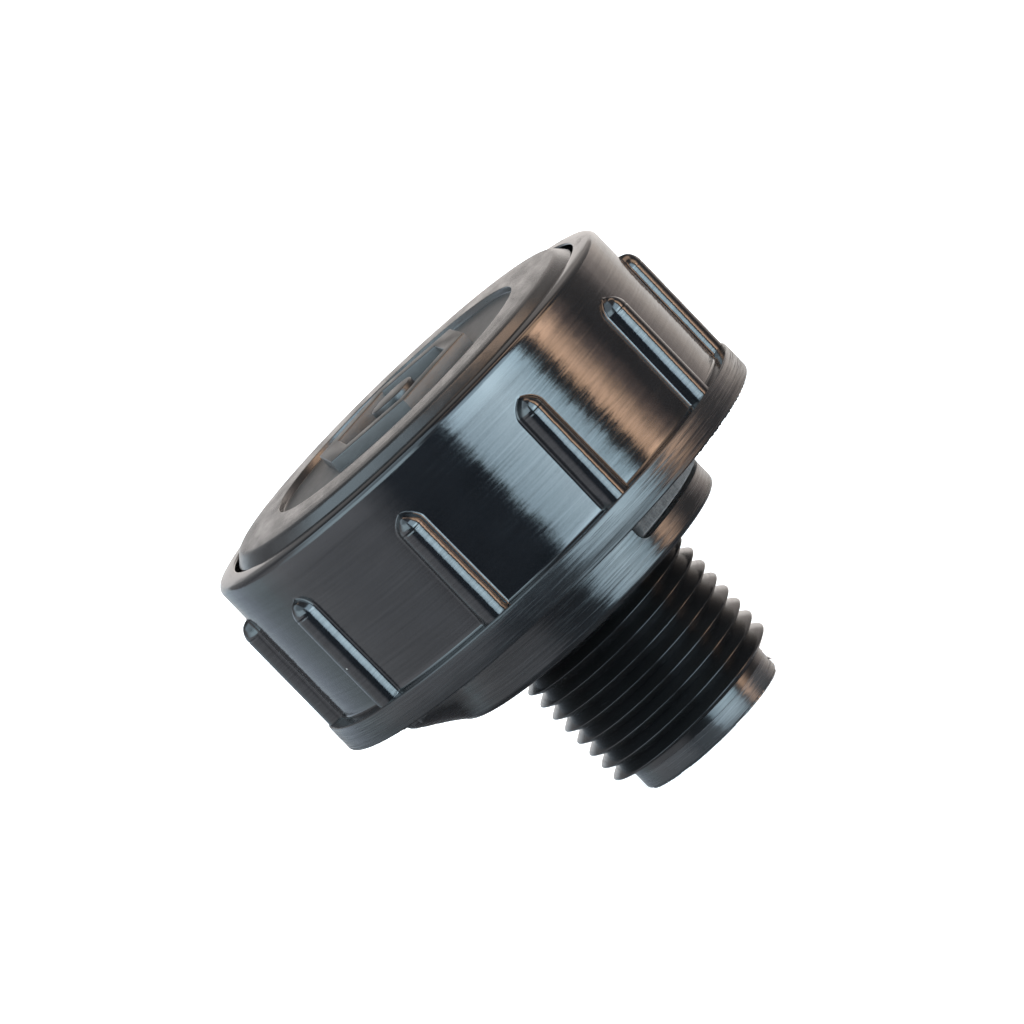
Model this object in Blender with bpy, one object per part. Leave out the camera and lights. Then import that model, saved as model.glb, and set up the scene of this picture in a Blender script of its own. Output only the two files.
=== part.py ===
"""Pneumatic muffler with a screw-on ribbed collar.

Frame: +Z runs up the axis, from the end of the threaded stem to the lid. The origin
is on the axis, in the plane of the stem's end. Angles around the axis are counted
from the front (-Y), positive towards the right (+X).

Compressed air enters the stem, spreads through the slots of the diffuser tube and the
felt sleeve, drops through the support plate into the hub, and leaves through the two
windows in the hub wall, which the exhaust felt fills.
"""
import math

import bmesh
import bpy
from mathutils import Matrix

MM = 0.001
SIDES = 36                       # facets round every turned surface
GAP = 0.3 * MM                   # clearance between pieces that touch

# Heights above the stem's end
THREAD_START_Z = 2.47 * MM
SHOULDER_Z = 14.55 * MM          # hub face that meets the port
WINDOW_SILL_Z = 16.65 * MM
SKIRT_BOTTOM_Z = 19.45 * MM
PLATE_BOTTOM_Z = 19.8 * MM
CUP_FLOOR_Z = 21.8 * MM
SKIRT_TOP_Z = 21.9 * MM
CUP_RIM_Z = 27.3 * MM
RIB_TOP_Z = 32.7 * MM
LIP_BOTTOM_Z = 35.15 * MM
COLLAR_TOP_Z = 36.15 * MM
LID_TOP_Z = 37.05 * MM

# Stem with the taper pipe thread (3/8-18)
PIPE_PITCH = 1.411 * MM
PIPE_DEPTH = 1.1 * MM
PIPE_CREST_R_HUB = 8.92 * MM
PIPE_CREST_R_END = 8.65 * MM
PIPE_CREST = 0.46                # where a crest starts, as a share of the pitch
PIPE_LAND_R = 9.0 * MM           # plain land between the thread and the hub face
PIPE_LAND_HEIGHT = 0.1 * MM
TIP_R = 7.18 * MM
BORE_R = 5.4 * MM

# Hub
HUB_R = 14.0 * MM
HUB_BEVEL = 0.5 * MM
HUB_INNER_R = 12.6 * MM
HUB_FLOOR_Z = 16.1 * MM
STEM_TUBE_R = 8.3 * MM           # stem wall where it passes through the hub
WINDOW_CENTRES = (65.0, -150.0)  # degrees
WINDOW_HALF_ANGLE = 38.5         # degrees
BOSS_CENTRE = -90.0              # degrees; the moulded boss under the plate
BOSS_HALF_ANGLE = 20.0           # degrees
BOSS_R = 18.2 * MM
BOSS_EMBED = 0.7 * MM            # how deep it sits in the hub wall
BOSS_RISE = 2.2 * MM             # height over which it swells out
BOSS_SHARE_LOW = 0.8             # share of its reach at the lower bend
CUTTER_MARGIN = 1.0 * MM         # how far a cutter stands out of the face it cuts
WINDOW_CUT_DEPTH = 0.6 * MM      # and how far it goes inside the hub wall

# Screw joint between the base and the collar
JOINT_PITCH = 2.5 * MM
JOINT_DEPTH = 0.75 * MM
JOINT_LOW_Z = 20.3 * MM
JOINT_HIGH_Z = 27.9 * MM
MALE_ROOT_R = 18.95 * MM
FEMALE_ROOT_R = 20.05 * MM
RIDGE_CREST = 0.10               # half width of a ridge's crest, as a share of the pitch
RIDGE_FOOT = 0.26                # half width of its foot
THREAD_RUNOUT = 0.6 * MM
THREAD_RELIEF = 0.4 * MM         # cone above the collar's thread

# Collar
BODY_R = 20.85 * MM
SKIRT_R = 22.2 * MM
SKIRT_EDGE = 0.2 * MM
TOP_ROUND = 0.55 * MM
COLLAR_BORE_R = 19.5 * MM
LIP_R = 18.78 * MM
SNAP_BEAD_R = 19.0 * MM
SNAP_BEAD_Z = 32.6 * MM
SNAP_BEAD_LEAD = 0.3 * MM        # slope on the lid's side of the bead
SNAP_BEAD_LAND = 0.2 * MM
SNAP_BEAD_RAMP = 0.5 * MM
RIB_COUNT = 10
FIRST_RIB = 20.0                 # degrees
RIB_HALF_WIDTH = 1.5 * MM
RIB_HEIGHT = 1.25 * MM
RIB_NOSE = 1.45 * MM
RIB_EMBED = 0.45 * MM            # how deep a rib sits in the wall

# Lid
LID_R = 18.4 * MM
LID_TOP_R = 17.6 * MM            # the lid's edge slopes in above the collar
LID_FLANGE_R = 19.2 * MM
LID_WALL = 2.0 * MM
LID_BOTTOM_Z = 33.2 * MM
LID_PLATE_Z = 35.0 * MM
LID_SLOPE_Z = 36.05 * MM         # foot of the sloping edge, just below the collar's top
RECESS_R = 12.9 * MM
RECESS_DEPTH = 0.45 * MM
EMBLEM_HEIGHT = 1.05 * MM
EMBLEM_EMBED = 0.5 * MM
EMBLEM_R = 8.6 * MM
EMBLEM_INNER_R = 6.2 * MM
EMBLEM_BUTTON_R = 2.2 * MM
EMBLEM_TURN = 3.0                # degrees; keeps its corners off the lid's facet edges

# Inner pieces
CUP_INNER_R = 17.3 * MM
PLATE_R = 17.0 * MM
PLATE_THICKNESS = 1.2 * MM
PLATE_HOLES = 12
PLATE_HOLE_R = 1.3 * MM
TUBE_R = 7.9 * MM
TUBE_INNER_R = 6.2 * MM
TUBE_TOP_Z = 31.7 * MM
TUBE_ROOF = 1.2 * MM
SLOT_WIDTH = 1.6 * MM
SLOT_LOW_Z = 24.4 * MM
SLOT_HIGH_Z = 29.6 * MM
SLOT_PAIRS = 4
SCREEN_THICKNESS = 0.4 * MM
PAD_TOP_Z = 34.7 * MM
FELT_RING_R = 12.3 * MM
FELT_RING_INNER_R = 8.6 * MM
LOBE_R = 14.4 * MM               # felt that fills a window and bulges past the hub
LOBE_EDGE = 0.3 * MM
LOBE_HEAD_R = 14.2 * MM
LOBE_ROOT_R = 11.3 * MM


# ---------------------------------------------------------------- materials

def material(name, colour, roughness, metallic=0.0):
    """A Principled material with one colour."""
    mat = bpy.data.materials.new(name)
    mat.use_nodes = True
    shader = mat.node_tree.nodes["Principled BSDF"]
    shader.inputs["Base Color"].default_value = (*colour, 1.0)
    shader.inputs["Roughness"].default_value = roughness
    shader.inputs["Metallic"].default_value = metallic
    mat.diffuse_color = (*colour, 1.0)
    return mat


# ---------------------------------------------------------------- mesh helpers

def polar(radius, degrees, z):
    """A point at an angle from the front, positive to the right."""
    angle = math.radians(degrees)
    return (radius * math.sin(angle), -radius * math.cos(angle), z)


def circle_row(radius, z, sides=SIDES):
    """One closed ring of points; the last point repeats the first."""
    return [(radius, z)] * (sides + 1)


def turned_mesh(rows, closed):
    """Skin between rows of (radius, z) points spaced evenly round the axis."""
    mesh = bmesh.new()
    sides = len(rows[0]) - 1
    grid = []
    for row in rows:
        step = 2 * math.pi / sides
        grid.append([mesh.verts.new((r * math.cos(i * step), r * math.sin(i * step), z))
                     for i, (r, z) in enumerate(row)])
    if closed:
        grid.append(grid[0])
    for lower, upper in zip(grid, grid[1:]):
        for i in range(sides):
            mesh.faces.new((lower[i], lower[i + 1], upper[i + 1], upper[i]))
    bmesh.ops.remove_doubles(mesh, verts=mesh.verts, dist=1e-6)
    bmesh.ops.dissolve_degenerate(mesh, edges=mesh.edges, dist=1e-7)
    on_axis = [edge for edge in mesh.edges if not edge.link_faces]
    bmesh.ops.delete(mesh, geom=on_axis, context="EDGES")
    bmesh.ops.recalc_face_normals(mesh, faces=mesh.faces)
    return mesh


def turned(profile, closed=True, sides=SIDES):
    """A solid of revolution from (radius, z) points."""
    return turned_mesh([circle_row(r, z, sides) for r, z in profile], closed)


def arc_profile(centre_r, centre_z, radius, start, end, steps):
    """Points of an arc in the section plane, from angle start to angle end."""
    points = []
    for i in range(steps + 1):
        angle = math.radians(start + (end - start) * i / steps)
        points.append((centre_r + radius * math.cos(angle),
                       centre_z + radius * math.sin(angle)))
    return points


def helix_rows(low, high, pitch, phases, radius_at):
    """Rows that follow a right-hand helix, cut off level at both ends.

    phases are the breakpoints of the thread's section within one pitch, and
    radius_at(phase, z) gives the radius there.
    """
    rows = []
    turns = int((high - low) / pitch) + 2
    for turn in range(-2, turns):
        for phase in phases:
            row = []
            for i in range(SIDES + 1):
                z = low + pitch * (turn + phase + i / SIDES)
                z = min(max(z, low), high)
                here = ((z - low) / pitch - i / SIDES) % 1.0
                row.append((radius_at(here, z), z))
            rows.append(row)
    return rows


def skin(mesh, rings):
    """Closes a solid over a row of like outlines."""
    count = len(rings[0])
    for first, second in zip(rings, rings[1:]):
        for j in range(count):
            k = (j + 1) % count
            mesh.faces.new((first[j], first[k], second[k], second[j]))
    mesh.faces.new(rings[0])
    mesh.faces.new(list(reversed(rings[-1])))
    bmesh.ops.recalc_face_normals(mesh, faces=mesh.faces)
    return mesh


def swept_arc(profile, centre, half_angle, steps=12):
    """A solid from a (radius, z) outline swept round part of a turn."""
    mesh = bmesh.new()
    rings = []
    for i in range(steps + 1):
        degrees = centre - half_angle + 2 * half_angle * i / steps
        rings.append([mesh.verts.new(polar(r, degrees, z)) for r, z in profile])
    return skin(mesh, rings)


def prism(outline, low, high):
    """A straight prism from (x, y) points."""
    mesh = bmesh.new()
    bottom = [mesh.verts.new((x, y, low)) for x, y in outline]
    top = [mesh.verts.new((x, y, high)) for x, y in outline]
    count = len(outline)
    for i in range(count):
        j = (i + 1) % count
        mesh.faces.new((bottom[i], bottom[j], top[j], top[i]))
    mesh.faces.new(list(reversed(bottom)))
    mesh.faces.new(top)
    bmesh.ops.recalc_face_normals(mesh, faces=mesh.faces)
    return mesh


def add(name, mesh, mat, seat_z=0.0, parent=None):
    """An object whose origin is on the axis at seat_z."""
    for vert in mesh.verts:
        vert.co.z -= seat_z
    data = bpy.data.meshes.new(name)
    mesh.to_mesh(data)
    mesh.free()
    data.materials.append(mat)
    data.shade_smooth()
    data.set_sharp_from_angle(angle=math.radians(32))
    obj = bpy.data.objects.new(name, data)
    bpy.context.scene.collection.objects.link(obj)
    obj.parent = parent
    obj.location.z = seat_z - (parent.location.z if parent else 0.0)
    return obj


def add_tool(name, mesh, mat):
    """A hidden object that a Boolean uses."""
    tool = add(name, mesh, mat)
    tool.hide_render = True
    tool.display_type = "WIRE"
    return tool


def combine(target, tool, operation):
    modifier = target.modifiers.new(tool.name, "BOOLEAN")
    modifier.operation = operation
    modifier.object = tool
    modifier.solver = "EXACT"


# ---------------------------------------------------------------- threads

def run_out(z, low, high):
    """0 at either end of a thread, rising to 1 over its run-out."""
    return max(0.0, min(1.0, (z - low) / THREAD_RUNOUT, (high - z) / THREAD_RUNOUT))


def pipe_radius(phase, z):
    """V thread with flattened crests on a slight taper."""
    share = (z - THREAD_START_Z) / (SHOULDER_Z - THREAD_START_Z)
    crest = PIPE_CREST_R_END + (PIPE_CREST_R_HUB - PIPE_CREST_R_END) * share
    height = min(1.0, min(phase, 1.0 - phase) / PIPE_CREST)
    height *= min(1.0, (z - THREAD_START_Z) / THREAD_RUNOUT)
    return crest - PIPE_DEPTH * (1.0 - height)


def ridge(offset):
    """Height of a trapezoid ridge at a distance from its centre, in pitches."""
    return max(0.0, min(1.0, (RIDGE_FOOT - abs(offset)) / (RIDGE_FOOT - RIDGE_CREST)))


def male_radius(phase, z):
    return MALE_ROOT_R + JOINT_DEPTH * ridge(phase - 0.5) * run_out(z, JOINT_LOW_Z, CUP_RIM_Z)


def female_radius(phase, z):
    height = ridge(min(phase, 1.0 - phase)) * run_out(z, JOINT_LOW_Z, JOINT_HIGH_Z)
    return FEMALE_ROOT_R - JOINT_DEPTH * height


# ---------------------------------------------------------------- pieces

def moulded_boss():
    """Wedge that bulges from the hub wall under the plate and fades out sideways."""
    root = HUB_R - BOSS_EMBED
    low, high = SHOULDER_Z + HUB_BEVEL + 0.1 * MM, PLATE_BOTTOM_Z + CUTTER_MARGIN
    mesh = bmesh.new()
    rings = []
    steps = 8
    for i in range(steps + 1):
        share = 2 * i / steps - 1
        swell = (BOSS_R - HUB_R) * math.cos(share * math.pi / 2) ** 2
        outline = ((root, low), (HUB_R - 0.2 * MM, low), (HUB_R + BOSS_SHARE_LOW * swell, low + BOSS_RISE),
                   (HUB_R + swell, high - BOSS_RISE), (HUB_R + swell, high), (root, high))
        rings.append([mesh.verts.new(polar(r, BOSS_CENTRE + share * BOSS_HALF_ANGLE, z))
                      for r, z in outline])
    return skin(mesh, rings)


def threaded_base(mat):
    """Stem, hub, and the cup that the collar screws onto, moulded as one piece."""
    ridge_phases = (0.5 - RIDGE_FOOT, 0.5 - RIDGE_CREST, 0.5 + RIDGE_CREST, 0.5 + RIDGE_FOOT)
    rows = [circle_row(BORE_R, 0.0), circle_row(TIP_R, 0.0), circle_row(TIP_R, THREAD_START_Z)]
    thread_end_z = SHOULDER_Z - PIPE_LAND_HEIGHT
    phases = (0.0, PIPE_CREST, 1 - PIPE_CREST)
    rows += helix_rows(THREAD_START_Z, thread_end_z, PIPE_PITCH, phases, pipe_radius)
    rows += [circle_row(r, z) for r, z in (
        (PIPE_LAND_R, thread_end_z),
        (PIPE_LAND_R, SHOULDER_Z),
        (HUB_R - HUB_BEVEL, SHOULDER_Z),
        (HUB_R, SHOULDER_Z + HUB_BEVEL),
        (HUB_R, PLATE_BOTTOM_Z),
        (MALE_ROOT_R, PLATE_BOTTOM_Z),
        (MALE_ROOT_R, JOINT_LOW_Z))]
    rows += helix_rows(JOINT_LOW_Z, CUP_RIM_Z, JOINT_PITCH, ridge_phases, male_radius)
    rows += [circle_row(r, z) for r, z in (
        (CUP_INNER_R, CUP_RIM_Z),
        (CUP_INNER_R, CUP_FLOOR_Z),
        (HUB_INNER_R, CUP_FLOOR_Z),
        (HUB_INNER_R, HUB_FLOOR_Z),
        (STEM_TUBE_R, HUB_FLOOR_Z),
        (STEM_TUBE_R, CUP_FLOOR_Z),
        (BORE_R, CUP_FLOOR_Z))]
    base = add("threaded_base", turned_mesh(rows, closed=True), mat)
    inside, outside = HUB_INNER_R - WINDOW_CUT_DEPTH, HUB_R + CUTTER_MARGIN
    opening = [(inside, WINDOW_SILL_Z), (outside, WINDOW_SILL_Z),
               (outside, SKIRT_BOTTOM_Z), (inside, SKIRT_BOTTOM_Z)]
    for index, centre in enumerate(WINDOW_CENTRES):
        window = swept_arc(opening, centre, WINDOW_HALF_ANGLE)
        combine(base, add_tool(f"window_cutter_{index + 1}", window, mat), "DIFFERENCE")
    combine(base, add_tool("boss_solid", moulded_boss(), mat), "UNION")
    return base


def exhaust_felt(mat):
    """Felt ring in the hub; a lobe fills each window and bulges out of it."""
    low, high = HUB_FLOOR_Z + GAP, CUP_FLOOR_Z - GAP
    ring = turned([(FELT_RING_INNER_R, low), (FELT_RING_R, low),
                   (FELT_RING_R, high), (FELT_RING_INNER_R, high)])
    felt = add("exhaust_felt", ring, mat, HUB_FLOOR_Z)
    sill, head = WINDOW_SILL_Z + GAP, SKIRT_BOTTOM_Z - GAP
    outline = [(LOBE_ROOT_R, sill), (HUB_R, sill), (LOBE_R, sill + LOBE_EDGE),
               (LOBE_R, head - LOBE_EDGE), (LOBE_HEAD_R, head), (LOBE_ROOT_R, head)]
    half_angle = WINDOW_HALF_ANGLE - math.degrees(GAP / HUB_R)
    for index, centre in enumerate(WINDOW_CENTRES):
        lobe = swept_arc(outline, centre, half_angle)
        combine(felt, add_tool(f"felt_lobe_{index + 1}", lobe, mat), "UNION")
    return felt


def support_plate(mat):
    """Perforated washer on the cup floor that carries the felt sleeve."""
    low = CUP_FLOOR_Z + GAP
    inner = TUBE_R + GAP
    plate = add("support_plate", turned([(inner, low), (PLATE_R, low), (PLATE_R, low + PLATE_THICKNESS),
                                         (inner, low + PLATE_THICKNESS)]), mat, low)
    ring_r = (STEM_TUBE_R + HUB_INNER_R) / 2
    holes = bmesh.new()
    for i in range(PLATE_HOLES):
        x, y, _ = polar(ring_r, 360 * i / PLATE_HOLES, 0.0)
        outline = [(x + PLATE_HOLE_R * math.cos(a), y + PLATE_HOLE_R * math.sin(a))
                   for a in (2 * math.pi * (j + 0.5) / 8 for j in range(8))]
        hole = prism(outline, low - CUTTER_MARGIN, low + PLATE_THICKNESS + CUTTER_MARGIN)
        shell = bpy.data.meshes.new("hole")
        hole.to_mesh(shell)
        hole.free()
        holes.from_mesh(shell)
        bpy.data.meshes.remove(shell)
    combine(plate, add_tool("plate_hole_cutter", holes, mat), "DIFFERENCE")
    return plate


def diffuser_tube(mat):
    """Slotted tube, closed at the top, that spreads the air into the felt."""
    low, roof = CUP_FLOOR_Z + GAP, TUBE_TOP_Z - TUBE_ROOF
    tube = add("diffuser_tube", turned([(TUBE_INNER_R, low), (TUBE_R, low), (TUBE_R, TUBE_TOP_Z),
                                        (0.0, TUBE_TOP_Z), (0.0, roof), (TUBE_INNER_R, roof)]), mat, low)
    for i in range(SLOT_PAIRS):
        turn = math.pi * (i + 0.5) / SLOT_PAIRS
        outline = []
        for along, across in ((1, 1), (-1, 1), (-1, -1), (1, -1)):
            x, y = along * 1.3 * TUBE_R, across * SLOT_WIDTH / 2
            outline.append((x * math.cos(turn) - y * math.sin(turn),
                            x * math.sin(turn) + y * math.cos(turn)))
        slot = prism(outline, SLOT_LOW_Z, SLOT_HIGH_Z)
        combine(tube, add_tool(f"slot_cutter_{i + 1}", slot, mat), "DIFFERENCE")
    return tube


def sleeve(name, inner, outer, low, high, mat):
    """A plain tube."""
    return add(name, turned([(inner, low), (outer, low), (outer, high), (inner, high)]), mat, low)


def lid_disc(mat, parent):
    """Lid held under the collar's lip, with a recess and a plain raised hexagon."""
    floor = LID_TOP_Z - RECESS_DEPTH
    wall = LID_FLANGE_R - LID_WALL
    flange_top = LIP_BOTTOM_Z - GAP
    lid = add("lid_disc", turned([
        (0.0, LID_PLATE_Z), (wall, LID_PLATE_Z), (wall, LID_BOTTOM_Z), (LID_FLANGE_R, LID_BOTTOM_Z),
        (LID_FLANGE_R, flange_top), (LID_R, flange_top), (LID_R, LID_SLOPE_Z),
        (LID_TOP_R, LID_TOP_Z), (RECESS_R, LID_TOP_Z), (RECESS_R, floor), (0.0, floor)]),
        mat, LID_BOTTOM_Z, parent)
    foot, top = floor - EMBLEM_EMBED, floor + EMBLEM_HEIGHT
    hexagon = turned([(EMBLEM_INNER_R, foot), (EMBLEM_R, foot), (EMBLEM_R, top),
                      (EMBLEM_INNER_R, top)], sides=6)
    button = turned([(0.0, foot), (EMBLEM_BUTTON_R, foot), (EMBLEM_BUTTON_R, top), (0.0, top)],
                    sides=16)
    turn = Matrix.Rotation(math.radians(EMBLEM_TURN), 3, "Z")
    for name, mesh in (("emblem_hexagon", hexagon), ("emblem_button", button)):
        bmesh.ops.rotate(mesh, verts=mesh.verts, matrix=turn)
        combine(lid, add_tool(name, mesh, mat), "UNION")
    return lid


def grip_ribs():
    """Half-round ribs with a rounded nose, as separate closed shells."""
    mesh = bmesh.new()
    foot_r = BODY_R - RIB_EMBED
    levels = [(SKIRT_TOP_Z - CUTTER_MARGIN, 1.0)]
    levels += [(RIB_TOP_Z - RIB_NOSE * (1 - math.sin(a)), math.cos(a))
               for a in (0.0, math.radians(40), math.radians(75))]
    for rib in range(RIB_COUNT):
        angle = math.radians(FIRST_RIB + 360 * rib / RIB_COUNT)
        rings = []
        for z, shrink in levels:
            half = RIB_HALF_WIDTH * shrink
            section = [(half, foot_r)]
            section += [(half * math.cos(a), BODY_R + RIB_HEIGHT * shrink * math.sin(a))
                        for a in (math.pi * k / 8 for k in range(9))]
            section.append((-half, foot_r))
            rings.append([mesh.verts.new((across * math.cos(angle) + out * math.sin(angle),
                                          across * math.sin(angle) - out * math.cos(angle), z))
                          for across, out in section])
        skin(mesh, rings)
    return mesh


def ribbed_collar(mat, parent):
    """Hand-turned collar that screws onto the base and holds the lid down."""
    ridge_phases = (RIDGE_CREST, RIDGE_FOOT, 1 - RIDGE_FOOT, 1 - RIDGE_CREST)
    outer = [(FEMALE_ROOT_R, SKIRT_BOTTOM_Z), (SKIRT_R - SKIRT_EDGE, SKIRT_BOTTOM_Z),
             (SKIRT_R, SKIRT_BOTTOM_Z + SKIRT_EDGE), (SKIRT_R, SKIRT_TOP_Z - SKIRT_EDGE),
             (SKIRT_R - SKIRT_EDGE, SKIRT_TOP_Z), (BODY_R, SKIRT_TOP_Z)]
    outer += arc_profile(BODY_R - TOP_ROUND, COLLAR_TOP_Z - TOP_ROUND, TOP_ROUND, 0, 90, 3)
    outer += [(LIP_R, COLLAR_TOP_Z), (LIP_R, LIP_BOTTOM_Z), (COLLAR_BORE_R, LIP_BOTTOM_Z),
              (COLLAR_BORE_R, SNAP_BEAD_Z + SNAP_BEAD_LEAD), (SNAP_BEAD_R, SNAP_BEAD_Z),
              (SNAP_BEAD_R, SNAP_BEAD_Z - SNAP_BEAD_LAND),
              (COLLAR_BORE_R, SNAP_BEAD_Z - SNAP_BEAD_LAND - SNAP_BEAD_RAMP),
              (COLLAR_BORE_R, JOINT_HIGH_Z + THREAD_RELIEF)]
    rows = [circle_row(r, z) for r, z in outer]
    rows += reversed(helix_rows(JOINT_LOW_Z, JOINT_HIGH_Z, JOINT_PITCH, ridge_phases, female_radius))
    collar = add("ribbed_collar", turned_mesh(rows, closed=True), mat, SKIRT_BOTTOM_Z, parent)
    combine(collar, add_tool("grip_ribs", grip_ribs(), mat), "UNION")
    return collar


def axis_empty(name, z, parent=None):
    """An empty on the joint axis."""
    empty = bpy.data.objects.new(name, None)
    empty.empty_display_size = 5 * MM
    bpy.context.scene.collection.objects.link(empty)
    empty.parent = parent
    empty.location.z = z
    return empty


def build():
    for obj in list(bpy.data.objects):
        bpy.data.objects.remove(obj, do_unlink=True)
    gloss_black = material("base_plastic", (0.022, 0.023, 0.025), 0.28)
    collar_black = material("collar_plastic", (0.022, 0.023, 0.025), 0.25)
    lid_black = material("lid_plastic", (0.03, 0.03, 0.031), 0.42)
    grey_felt = material("grey_felt", (0.33, 0.33, 0.34), 0.95)
    white_felt = material("white_felt", (0.72, 0.70, 0.66), 0.95)
    tube_plastic = material("tube_plastic", (0.06, 0.06, 0.065), 0.5)
    steel = material("zinc_steel", (0.6, 0.6, 0.58), 0.35, 1.0)
    mesh_steel = material("screen_steel", (0.55, 0.55, 0.55), 0.4, 1.0)

    threaded_base(gloss_black)
    exhaust_felt(grey_felt)
    support_plate(steel)
    diffuser_tube(tube_plastic)
    felt_low = CUP_FLOOR_Z + GAP + PLATE_THICKNESS + GAP
    screen_r = TUBE_R + GAP
    sleeve("screen_sleeve", screen_r, screen_r + SCREEN_THICKNESS, felt_low, TUBE_TOP_Z, mesh_steel)
    sleeve("felt_sleeve", screen_r + SCREEN_THICKNESS + GAP, PLATE_R, felt_low, TUBE_TOP_Z, white_felt)
    pad_low = TUBE_TOP_Z + GAP
    pad_r = LID_FLANGE_R - LID_WALL - GAP
    add("felt_top_pad", turned([(0.0, pad_low), (pad_r, pad_low), (pad_r, PAD_TOP_Z), (0.0, PAD_TOP_Z)]),
        white_felt, pad_low)
    lift = axis_empty("lid_lift_axis", LID_BOTTOM_Z)
    lid_disc(lid_black, lift)
    turn = axis_empty("collar_turn_axis", SKIRT_BOTTOM_Z)
    ribbed_collar(collar_black, turn)


build()
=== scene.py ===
"""Looks of the pneumatic muffler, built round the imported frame.

Lengths are in millimetres until a mesh is made.
"""
import math

import bmesh
import bpy
import numpy as np
from mathutils import Matrix, Vector


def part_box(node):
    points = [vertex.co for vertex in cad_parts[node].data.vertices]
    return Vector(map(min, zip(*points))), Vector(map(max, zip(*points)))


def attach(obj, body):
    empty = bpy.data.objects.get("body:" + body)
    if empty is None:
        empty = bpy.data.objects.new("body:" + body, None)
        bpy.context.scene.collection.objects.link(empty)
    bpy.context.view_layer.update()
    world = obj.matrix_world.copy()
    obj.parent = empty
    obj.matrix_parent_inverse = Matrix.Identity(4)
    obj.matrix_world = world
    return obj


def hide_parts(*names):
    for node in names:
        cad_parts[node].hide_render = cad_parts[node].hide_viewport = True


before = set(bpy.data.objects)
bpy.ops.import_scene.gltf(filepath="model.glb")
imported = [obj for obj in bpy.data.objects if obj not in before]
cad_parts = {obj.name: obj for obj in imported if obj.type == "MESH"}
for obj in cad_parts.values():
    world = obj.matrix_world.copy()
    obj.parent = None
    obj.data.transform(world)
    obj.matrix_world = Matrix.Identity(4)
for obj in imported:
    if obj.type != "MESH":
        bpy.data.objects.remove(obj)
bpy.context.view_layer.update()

MM = 0.001
MERGE_DISTANCE = 1e-4            # mesh points nearer than this, in mm, are one


def span(node):
    """Lowest z, highest z and largest radius of a CAD node, in mm."""
    low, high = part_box(node)
    return low.z / MM, high.z / MM, max(-low.x, high.x, -low.y, high.y) / MM


COLLAR_LOW, COLLAR_TOP, SKIRT_R = span("ribbed_collar")
_, CUP_RIM, MALE_CREST_R = span("threaded_base")
LID_LOW, EMBLEM_TOP, LID_FLANGE_R = span("lid_disc")
FELT_LOW, FELT_HIGH, _ = span("exhaust_felt")
PLATE_LOW, PLATE_TOP, PLATE_R = span("support_plate")
TUBE_LOW, TUBE_TOP, TUBE_R = span("diffuser_tube")
SLEEVE_LOW, SLEEVE_TOP, SLEEVE_R = span("felt_sleeve")
SCREEN_LOW, SCREEN_TOP, SCREEN_R = span("screen_sleeve")
PAD_LOW, PAD_TOP, PAD_R = span("felt_top_pad")

# Base
TIP_R = 7.18
TIP_BAND_Z = 1.66                # a small step round the tip; smooth and darker above it
TIP_BAND_STEP = 0.05
TIP_BAND_HALF = 0.02             # half the height of the step
THREAD_START = 2.47
SHOULDER = 14.55
PIPE_PITCH = 1.411
PIPE_DEPTH = 1.1
PIPE_CREST_END = 8.65
PIPE_CREST_HUB = 8.92
CREST_ROUND = 0.035              # radius of the crest, as a share of the pitch
NEAR_CREST = (0.2, 0.36, 0.42, 0.45, 0.47, 0.485)    # rows from a root to a crest, in shares of the pitch
LAND_R = 9.0                     # plain land between the thread and the hub face
LAND_HEIGHT = 0.1
BORE_R = 5.4
HUB_R = 14.0
HUB_INNER_R = 12.6
HUB_FLOOR = 16.1
STEM_TUBE_R = 8.3
CUP_FLOOR = PLATE_LOW - 0.3
CUP_INNER_R = 17.3
PLATE_BOTTOM = 19.8
WINDOW_SILL = 16.65
WINDOW_CENTRES = (65.0, -150.0)
WINDOW_HALF = 38.5
WINDOW_CORNER = 0.9
BOSS_CENTRE = -90.0
BOSS_HALF = 31.0
BOSS_R = 18.2
BOSS_ROWS = 16                   # rows of mesh up the hub wall that the boss swells from

# Moulding flash: radius, z, first and last angle, reach, lean outward, seed
FLASH_THICK = 0.07
FLASH_STEP = 0.12
TIP_FLASH = (
    (7.12, 0.04, -72, -38, 0.22, 0.2, 0.4),
    (7.12, 0.04, -30, 12, 0.12, 0.1, 1.3),
    (7.12, 0.04, 20, 74, 0.26, 0.3, 2.2),
    (7.14, 0.9, 83, 89, 0.3, 0.9, 0.9),
)
BOSS_FLASH = (
    (17.9, 17.9, -96, -84, 0.5, 0.5, 1.1),
    (16.6, 16.6, -95, -87, 0.35, 0.7, 2.7),
)
SKIRT_FLASH = (
    (22.1, 19.48, -53, -43, 0.4, 0.1, 0.3),
    (22.1, 19.48, -44, -20, 0.16, 0.2, 1.9),
    (22.1, 19.48, 30, 78, 0.08, 0.2, 2.4),
)

# Screw joint
JOINT_PITCH = 2.5
JOINT_DEPTH = 0.75
JOINT_LOW = 20.3
JOINT_HIGH = 27.9
JOINT_FADE = 0.6                 # height over which a ridge runs out at either end
MALE_ROOT_R = MALE_CREST_R - JOINT_DEPTH
FEMALE_ROOT_R = 20.05
RIDGE_CREST = 0.10
RIDGE_FOOT = 0.26

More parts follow.
